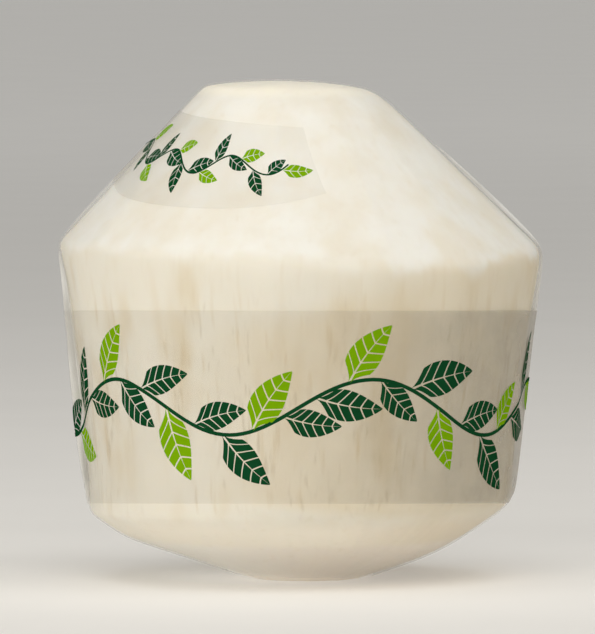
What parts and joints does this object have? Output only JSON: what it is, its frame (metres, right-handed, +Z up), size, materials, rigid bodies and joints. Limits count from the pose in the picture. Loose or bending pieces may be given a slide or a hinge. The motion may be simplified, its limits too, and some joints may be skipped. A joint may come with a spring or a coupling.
{
  "type": "trimmed young coconut",
  "caption": "Fresh young coconut trimmed white to a cone top, tapering body and shallow base, in a clear shrink film with a translucent printed band and a shoulder label.",
  "frame": {"origin": "centre of the small flat spot that the coconut rests on, on the floor plane", "axes": "+Z up through the crown, -Y towards the viewer of the picture, +X to that viewer's right"},
  "size_m": [0.1296, 0.1299, 0.1339],
  "materials": {
    "trimmed_husk": "fresh-cut fibrous husk, cream white, matt with a moist sheen",
    "clear_film": "clear glossy shrink film",
    "printed_band": "translucent grey printed film with green leaf print",
    "printed_patch": "translucent grey printed film with green leaf print"
  },
  "bodies": {
    "root": {"coconut": "trimmed_husk", "wrap_film": "clear_film", "band_label": "printed_band", "shoulder_label": "printed_patch"}
  },
  "joints": []
}
